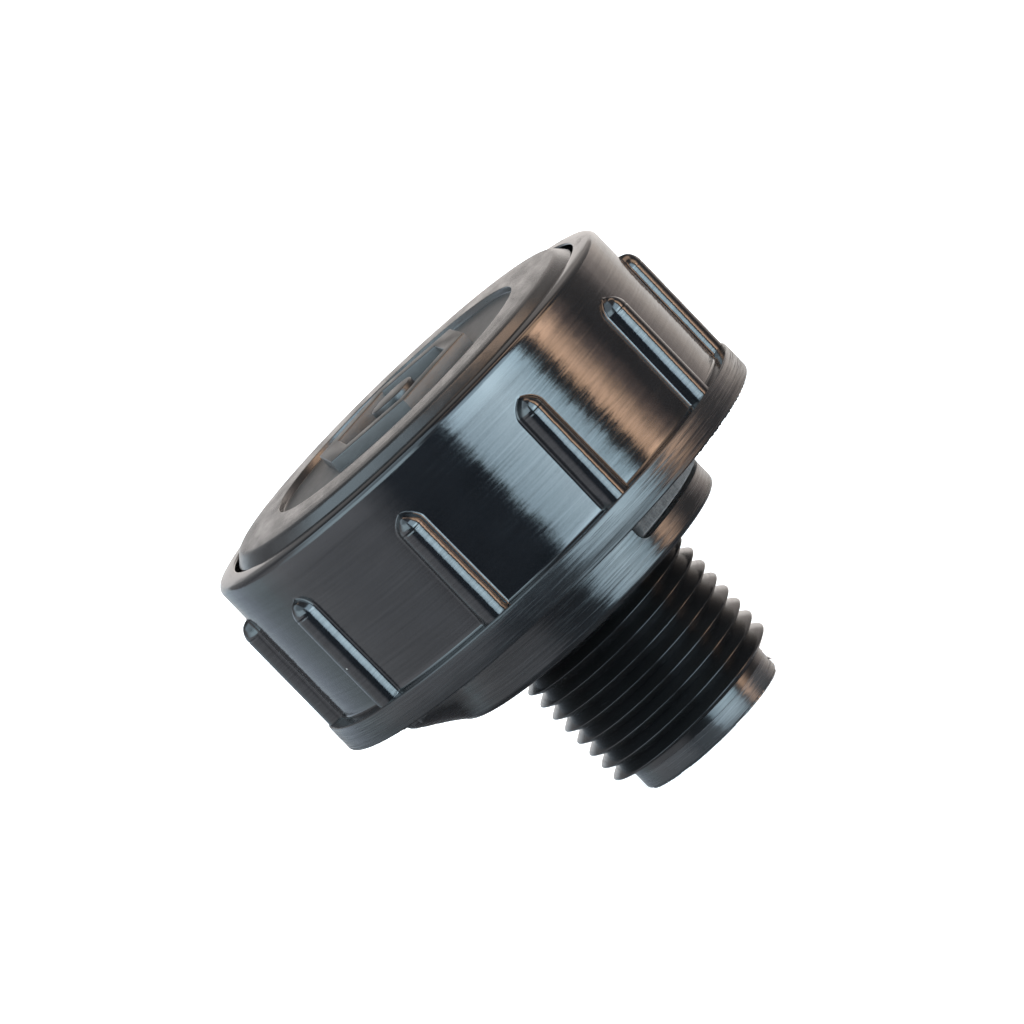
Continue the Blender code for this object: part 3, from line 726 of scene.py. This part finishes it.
def make_lid():
    """The flanged lid with a plain hexagon and a button in its recess."""
    wall = LID_FLANGE_R - LID_WALL
    flange_top = LIP_BOTTOM - 0.3
    points = [(0, LID_PLATE), (wall, LID_PLATE), (wall, LID_LOW), (LID_FLANGE_R, LID_LOW),
              (LID_FLANGE_R, flange_top), (LID_R, flange_top), (LID_R, COLLAR_TOP - 0.1),
              *LID_CROWN, (RECESS_R, LID_TOP), (RECESS_R - 0.08, RECESS_FLOOR), (0, RECESS_FLOOR)]
    radii = [0, 0.4, 0.2, 0.2, 0.15, 0.05, 0.1, 0.8, 3.0, 3.0, 0.5, 0.08, 0.2, 0]
    lid = to_object("lid_moulding", turned("lid", rounded(points, radii, 6), 240), LID_PLASTIC)
    foot = RECESS_FLOOR - 0.5
    boolean(lid, bevelled_ring("hexagon", HEX_R, HEX_INNER_R, foot, 6), "UNION")
    boolean(lid, bevelled_ring("button", BUTTON_R, 0, foot, 32), "UNION")
    lid.data.materials.append(RECESS_PLASTIC)
    lid.data.materials.append(EMBLEM_PLASTIC)
    for face in lid.data.polygons:
        middle = face.center / MM
        sunk = middle.z > LID_PLATE + 0.5 and middle.xy.length < RECESS_R - 0.1
        face.material_index = (2 if middle.z > RECESS_FLOOR + 0.05 else 1) if sunk else 0
    set_smooth(lid.data, 30)
    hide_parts("lid_disc")
    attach(lid, "lid")


# ---------------------------------------------------------------- felt and inner pieces

def make_exhaust_felt():
    """Felt ring in the hub, pushed out through both windows."""
    reach = WINDOW_HALF - math.degrees(LOBE_INSET / HUB_R)
    fine = np.degrees(np.arange(-0.5, 0.56, FELT_COLUMN_STEP) / HUB_R)
    edges = np.concatenate([centre + side * reach + fine for centre in WINDOW_CENTRES for side in (-1, 1)])
    angles = np.unique(np.round(np.concatenate([full_circle(180), wrapped(edges)]), 3))
    sill, head = WINDOW_SILL + FELT_GAP, COLLAR_LOW - FELT_GAP
    wall = np.unique(np.round(np.concatenate([
        np.linspace(FELT_LOW, FELT_HIGH, 12),
        sill + np.arange(-0.3, 0.6, FELT_ROW_STEP),
        head + np.arange(-0.5, 0.3, FELT_ROW_STEP)]), 3))
    wall = wall[(wall >= FELT_LOW) & (wall <= FELT_HIGH)]
    outline = [(FELT_INNER_R, FELT_HIGH), (FELT_INNER_R, FELT_LOW)] + [(FELT_RING_R, z) for z in wall]
    radius, height = plain_rows(outline, len(angles))
    outer = radius > FELT_RING_R - 0.1
    inside = np.full(radius.shape, -np.inf)
    for centre in WINDOW_CENTRES:
        side = np.radians(reach - np.abs(wrapped(angles - centre))) * HUB_R
        inside = np.maximum(inside, np.minimum(side[None, :], np.minimum(height - sill, head - height)))
    lobe = np.clip(inside / FELT_EDGE, 0, 1)
    lobe = np.sqrt(np.clip(1 - (1 - lobe) ** 2, 0, 1))
    nap = FELT_NAP * np.sin(angles * 3.7 + height * 9) * np.sin(angles * 1.3 - height * 4)
    radius = radius + np.where(outer, (FELT_LOBE_R - FELT_RING_R + nap) * lobe, 0)
    felt = to_object("exhaust_felt_ring", grid_mesh("felt", radius, height, angles), GREY_FELT, 50)
    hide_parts("exhaust_felt")
    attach(felt, "base")


def felt_body(name, node, points, radii, columns=120):
    """A thick felt piece turned about the axis, with an uneven surface."""
    radius, height = plain_rows(rounded(points, radii, 5), columns + 1)
    angles = full_circle(columns)
    theta = np.radians(angles)
    wave = np.sin(theta * 7) * np.sin(height * 1.9)
    wave += 0.6 * np.sin(theta * 13 + 1) * np.sin(height * 3.3 + radius)
    radius = radius * (1 + FELT_WAVE * wave)
    felt = to_object(name, grid_mesh(name, radius, height, angles), WHITE_FELT, 60)
    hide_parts(node)
    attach(felt, "base")


def make_inner_felts():
    """The main sleeve and the pad under the lid."""
    inner = SCREEN_R + 0.3
    felt_body("felt_filter_sleeve", "felt_sleeve",
              [(inner, SLEEVE_LOW), (SLEEVE_R, SLEEVE_LOW), (SLEEVE_R, SLEEVE_TOP), (inner, SLEEVE_TOP)],
              [0.3, 0.6, 0.6, 0.3])
    felt_body("felt_lid_pad", "felt_top_pad",
              [(0, PAD_LOW), (PAD_R, PAD_LOW), (PAD_R, PAD_TOP), (0, PAD_TOP)],
              [0, 0.7, 0.7, 0])


def make_screen():
    """Plain woven wire round the diffuser tube."""
    work = bmesh.new()
    middle, swing = (SCREEN_R + TUBE_R + 0.3) / 2, WIRE_R * 0.9
    low, high = SCREEN_LOW + WIRE_R, SCREEN_TOP - WIRE_R
    for i in range(SCREEN_WARPS):
        angle = 360.0 * i / SCREEN_WARPS
        path = []
        for k in range(2 * SCREEN_HOOPS + 1):
            z = low + (high - low) * k / (2 * SCREEN_HOOPS)
            path.append(ring_point(middle + swing * math.sin(math.pi * k / 2 + math.pi * i), angle, z))
        tube_along(work, path, WIRE_R, False)
    for j in range(SCREEN_HOOPS):
        z = low + (high - low) * (j + 0.5) / SCREEN_HOOPS
        count = 2 * SCREEN_WARPS
        path = [ring_point(middle - swing * math.sin(math.pi * k / 2 + math.pi * j), 360.0 * k / count, z)
                for k in range(count)]
        tube_along(work, path, WIRE_R, True)
    mesh = bpy.data.meshes.new("screen")
    work.to_mesh(mesh)
    work.free()
    screen = to_object("wire_screen", mesh, WIRE, 180)
    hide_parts("screen_sleeve")
    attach(screen, "base")


def tube_along(work, path, radius, loop, sides=5):
    """A round wire through points that lie near a cylinder round the axis."""
    rings = []
    count = len(path)
    for i, point in enumerate(path):
        ahead = path[(i + 1) % count] if loop or i + 1 < count else point
        back = path[i - 1] if loop or i > 0 else point
        along = (Vector(ahead) - Vector(back)).normalized()
        out = Vector((point[0], point[1], 0)).normalized()
        side = along.cross(out).normalized()
        out = side.cross(along)
        rings.append([work.verts.new(Vector(point) + radius * (math.cos(a) * side + math.sin(a) * out))
                      for a in (2 * math.pi * k / sides for k in range(sides))])
    pairs = list(zip(rings, rings[1:]))
    if loop:
        pairs.append((rings[-1], rings[0]))
    for one, two in pairs:
        for k in range(sides):
            m = (k + 1) % sides
            work.faces.new((one[k], one[m], two[m], two[k]))
    if not loop:
        work.faces.new(rings[0][::-1])
        work.faces.new(rings[-1])
    bmesh.ops.recalc_face_normals(work, faces=work.faces)


def post(name, x, y, turn, size, low, high, sides=4):
    """A straight cutter, square or round, at a place in the plane of the parts."""
    work = bmesh.new()
    if sides == 4:
        flat = [(size[0] * u, size[1] * v) for u, v in ((-1, -1), (1, -1), (1, 1), (-1, 1))]
    else:
        flat = [(size[0] * math.cos(a), size[0] * math.sin(a))
                for a in (2 * math.pi * (k + 0.5) / sides for k in range(sides))]
    flat = [(x + u * math.cos(turn) - v * math.sin(turn), y + u * math.sin(turn) + v * math.cos(turn))
            for u, v in flat]
    bottom = [work.verts.new((u, v, low)) for u, v in flat]
    top = [work.verts.new((u, v, high)) for u, v in flat]
    for i in range(len(flat)):
        j = (i + 1) % len(flat)
        work.faces.new((bottom[i], bottom[j], top[j], top[i]))
    work.faces.new(bottom[::-1])
    work.faces.new(top)
    mesh = bpy.data.meshes.new(name)
    work.to_mesh(mesh)
    work.free()
    return to_object(name, mesh, TUBE_PLASTIC)


def make_tube():
    """Closed tube with slots in opposite pairs."""
    roof = TUBE_TOP - 1.2
    outline = rounded([(TUBE_INNER_R, TUBE_LOW), (TUBE_R, TUBE_LOW), (TUBE_R, TUBE_TOP), (0, TUBE_TOP),
                       (0, roof), (TUBE_INNER_R, roof)], [0.15, 0.15, 0.4, 0, 0, 0.4])
    tube = to_object("slotted_tube", turned("tube", outline, 120), TUBE_PLASTIC, 30)
    for i in range(SLOT_PAIRS):
        turn = math.pi * (i + 0.5) / SLOT_PAIRS
        cutter = post("slot", 0, 0, turn, (1.3 * TUBE_R, SLOT_WIDTH / 2), SLOT_LOW, SLOT_HIGH)
        boolean(tube, cutter, "DIFFERENCE")
    set_smooth(tube.data, 30)
    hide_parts("diffuser_tube")
    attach(tube, "base")


def make_plate():
    """Perforated washer on the cup floor."""
    inner = TUBE_R + 0.3
    outline = rounded([(inner, PLATE_LOW), (PLATE_R, PLATE_LOW), (PLATE_R, PLATE_TOP), (inner, PLATE_TOP)],
                      [0.1, 0.1, 0.25, 0.25])
    plate = to_object("perforated_plate", turned("plate", outline, 144), ZINC, 30)
    ring_r = (STEM_TUBE_R + HUB_INNER_R) / 2
    for i in range(PLATE_HOLES):
        x, y, _ = ring_point(ring_r, 360 * i / PLATE_HOLES, 0)
        cutter = post("hole", x, y, 0, (PLATE_HOLE_R, 0), PLATE_LOW - 1, PLATE_TOP + 1, 20)
        boolean(plate, cutter, "DIFFERENCE")
    set_smooth(plate.data, 30)
    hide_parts("support_plate")
    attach(plate, "base")


# ---------------------------------------------------------------- stage, light and camera

FLOOR_R = 3.0                    # metres


def make_stage():
    """A round floor of plain white paper."""
    mesh = bpy.data.meshes.new("floor")
    work = bmesh.new()
    bmesh.ops.create_circle(work, cap_ends=True, segments=96, radius=FLOOR_R)
    work.to_mesh(mesh)
    work.free()
    n = Nodes("floor_paper")
    grain = n.noise(n.place(0.05, 0.05, 0.05), 1.0, 2.0)
    n.finish(Base_Color=n.mix(grain, (0.92, 0.92, 0.92, 1), (0.94, 0.94, 0.94, 1)), Roughness=0.9)
    n.finish(Emission_Color=(1, 1, 1, 1), Emission_Strength=0.5)
    mesh.materials.append(n.material)
    floor = bpy.data.objects.new("floor", mesh)
    bpy.context.scene.collection.objects.link(floor)
    floor.visible_glossy = False
    floor.visible_shadow = False


# Studio surroundings: azimuth from the front, degrees, and its light, at three heights
LOW_ROW = (
    (-180, (0.78, 0.73, 0.70)), (-158, (0.60, 0.70, 0.78)), (-142, (0.66, 0.76, 0.89)),
    (-120, (0.82, 0.97, 1.05)), (-100, (1.15, 1.18, 1.25)), (-50, (1.25, 1.28, 1.38)),
    (-42, (1.00, 1.02, 1.10)), (-27, (0.12, 0.13, 0.16)), (7, (0.06, 0.08, 0.11)),
    (10, (5.2, 7.0, 8.2)), (34, (8.2, 10.6, 12.0)), (55, (5.4, 7.4, 8.6)),
    (57, (0.2, 0.2, 0.2)), (65, (0.25, 0.20, 0.18)), (67, (10.0, 6.4, 4.2)),
    (73, (9.8, 6.4, 4.4)), (78, (4.6, 3.1, 2.2)), (84, (1.3, 0.95, 0.8)),
    (93, (0.2, 0.17, 0.15)), (112, (0.3, 0.26, 0.24)), (124, (1.0, 0.86, 0.80)),
    (142, (1.45, 1.28, 1.16)), (156, (1.35, 1.28, 1.22)), (180, (0.78, 0.73, 0.70)),
)
MIDDLE_ROW = (
    (-180, (0.25, 0.24, 0.23)), (-172, (0.35, 0.35, 0.36)), (-140, (0.3, 0.3, 0.32)),
    (-105, (1.1, 1.1, 1.15)), (-75, (3.2, 4.0, 4.5)), (-60, (4.2, 5.4, 6.0)),
    (-14, (4.0, 5.2, 5.9)), (-4, (0.4, 0.45, 0.5)), (7, (0.2, 0.22, 0.25)),
    (10, (4.4, 5.9, 7.0)), (55, (4.4, 5.9, 7.0)), (57, (0.2, 0.2, 0.2)),
    (65, (0.25, 0.20, 0.18)), (67, (7.0, 4.6, 3.0)), (80, (7.0, 4.6, 3.0)),
    (92, (0.2, 0.2, 0.2)), (112, (0.3, 0.26, 0.24)), (140, (0.5, 0.46, 0.44)),
    (165, (0.8, 0.72, 0.68)), (180, (0.25, 0.24, 0.23)),
)
HIGH_ROW = (
    (-180, (0.12, 0.12, 0.12)), (-130, (0.3, 0.3, 0.3)), (-110, (2.4, 3.0, 3.4)),
    (-75, (2.4, 3.0, 3.4)), (-60, (1.7, 2.1, 2.4)), (5, (1.5, 1.9, 2.2)),
    (18, (0.35, 0.35, 0.38)), (80, (0.35, 0.3, 0.28)), (97, (4.2, 2.9, 2.1)),
    (114, (4.2, 2.9, 2.1)), (128, (0.3, 0.28, 0.25)), (180, (0.12, 0.12, 0.12)),
)
UNDERSIDE = (0.14, 0.14, 0.15)
STUDIO_PEAK = 12.0
UNDERSIDE_TO_LOW = (-30, -17)    # elevations, degrees, over which one height gives way to the next
LOW_TO_MIDDLE = (10.5, 14.5)
MIDDLE_TO_HIGH = (38, 52)
LOW_FALL = {"From Min": -0.24, "From Max": -0.035, "To Min": 0.6, "To Max": 1.3}    # dimmer farther down


def elevation_share(tree, height, low, high):
    """0 below one elevation and 1 above another, in degrees."""
    share = tree.nodes.new("ShaderNodeMapRange")
    share.interpolation_type = "SMOOTHSTEP"
    share.inputs["From Min"].default_value = math.sin(math.radians(low))
    share.inputs["From Max"].default_value = math.sin(math.radians(high))
    tree.links.new(height, share.inputs["Value"])
    return share.outputs[0]


def colour_row(tree, place, table):
    """A colour ramp over a full turn."""
    ramp = tree.nodes.new("ShaderNodeValToRGB")
    stops = ramp.color_ramp.elements
    while len(stops) > 1:
        stops.remove(stops[-1])
    for index, (degrees, colour) in enumerate(table):
        position = (degrees + 180) / 360
        stop = stops[0] if index == 0 else stops.new(position)
        stop.position = position
        stop.color = (*[c / STUDIO_PEAK for c in colour], 1)
    tree.links.new(place, ramp.inputs[0])
    return ramp.outputs[0]


def blend_colours(tree, share, first, second):
    """Mixes two colours, each a socket or a table's light."""
    node = tree.nodes.new("ShaderNodeMix")
    node.data_type = "RGBA"
    tree.links.new(share, node.inputs[0])
    for socket, value in ((node.inputs[6], first), (node.inputs[7], second)):
        if isinstance(value, bpy.types.NodeSocket):
            tree.links.new(value, socket)
        else:
            socket.default_value = (*[c / STUDIO_PEAK for c in value], 1)
    return node.outputs[2]


def make_light():
    """A white studio with cool and warm soft lights, as the surroundings of the object."""
    world = bpy.data.worlds.new("studio")
    bpy.context.scene.world = world
    world.use_nodes = True
    tree = world.node_tree
    tree.nodes.clear()
    new, link = tree.nodes.new, tree.links.new
    split = new("ShaderNodeSeparateXYZ")
    link(new("ShaderNodeTexCoord").outputs["Generated"], split.inputs[0])
    toward = new("ShaderNodeMath")
    toward.operation = "MULTIPLY"
    toward.inputs[1].default_value = -1
    link(split.outputs[1], toward.inputs[0])
    azimuth = new("ShaderNodeMath")
    azimuth.operation = "ARCTAN2"
    link(split.outputs[0], azimuth.inputs[0])
    link(toward.outputs[0], azimuth.inputs[1])
    place = new("ShaderNodeMapRange")
    place.inputs["From Min"].default_value = -math.pi
    place.inputs["From Max"].default_value = math.pi
    link(azimuth.outputs[0], place.inputs["Value"])
    low, middle, high = (colour_row(tree, place.outputs[0], row) for row in (LOW_ROW, MIDDLE_ROW, HIGH_ROW))
    height = split.outputs[2]
    dimmed = new("ShaderNodeVectorMath")
    dimmed.operation = "SCALE"
    link(low, dimmed.inputs[0])
    slope = new("ShaderNodeMapRange")
    for key, value in LOW_FALL.items():
        slope.inputs[key].default_value = value
    link(height, slope.inputs["Value"])
    link(slope.outputs[0], dimmed.inputs["Scale"])
    upper = blend_colours(tree, elevation_share(tree, height, *MIDDLE_TO_HIGH), middle, high)
    walls = blend_colours(tree, elevation_share(tree, height, *LOW_TO_MIDDLE), dimmed.outputs[0], upper)
    light = blend_colours(tree, elevation_share(tree, height, *UNDERSIDE_TO_LOW), UNDERSIDE, walls)
    lit = new("ShaderNodeBackground")
    lit.inputs["Strength"].default_value = STUDIO_PEAK
    link(light, lit.inputs[0])
    seen = new("ShaderNodeBackground")
    seen.inputs[0].default_value = (1, 1, 1, 1)
    seen.inputs["Strength"].default_value = 1.0
    choose = new("ShaderNodeMixShader")
    link(new("ShaderNodeLightPath").outputs["Is Camera Ray"], choose.inputs[0])
    link(lit.outputs[0], choose.inputs[1])
    link(seen.outputs[0], choose.inputs[2])
    link(choose.outputs[0], new("ShaderNodeOutputWorld").inputs[0])


# Camera: from the front, a little above, and rolled so that the stem points down and to the right
CAMERA_ELEVATION = 8.0
CAMERA_ROLL = 44.1               # how far the axis leans from level in the picture, from the lid's side
CAMERA_DISTANCE = 532.0
PIXELS_PER_MM = 12.4
PICTURE = 1024
AIM = (34.8, -43.9)              # pixels from the picture's middle to the collar's lower face on the axis


def make_camera():
    """A long lens whose picture keeps the axis at a slant."""
    elevation, lean = math.radians(CAMERA_ELEVATION), math.radians(90 - CAMERA_ROLL)
    forward = Vector((0, math.cos(elevation), -math.sin(elevation)))
    level = Vector((0, math.sin(elevation), math.cos(elevation)))
    across = Vector((1, 0, 0))
    right = across * math.sin(lean) - level * math.cos(lean)
    up = across * math.cos(lean) + level * math.sin(lean)
    target = Vector((0, 0, COLLAR_LOW))
    centre = target - (right * AIM[0] + up * AIM[1]) / PIXELS_PER_MM
    place = (centre - forward * CAMERA_DISTANCE) * MM
    camera = bpy.data.cameras.new("camera")
    camera.sensor_width = 36.0
    camera.lens = CAMERA_DISTANCE * PIXELS_PER_MM / PICTURE * camera.sensor_width
    camera.clip_start, camera.clip_end = 0.01, 20.0
    obj = bpy.data.objects.new("camera", camera)
    obj.matrix_world = Matrix((
        (right.x, up.x, -forward.x, place.x),
        (right.y, up.y, -forward.y, place.y),
        (right.z, up.z, -forward.z, place.z),
        (0, 0, 0, 1)))
    bpy.context.scene.collection.objects.link(obj)
    bpy.context.scene.camera = obj


make_base()
make_collar()
make_lid()
make_exhaust_felt()
make_inner_felts()
make_screen()
make_tube()
make_plate()
make_stage()
make_light()
make_camera()
bpy.context.scene.view_settings.view_transform = "Standard"
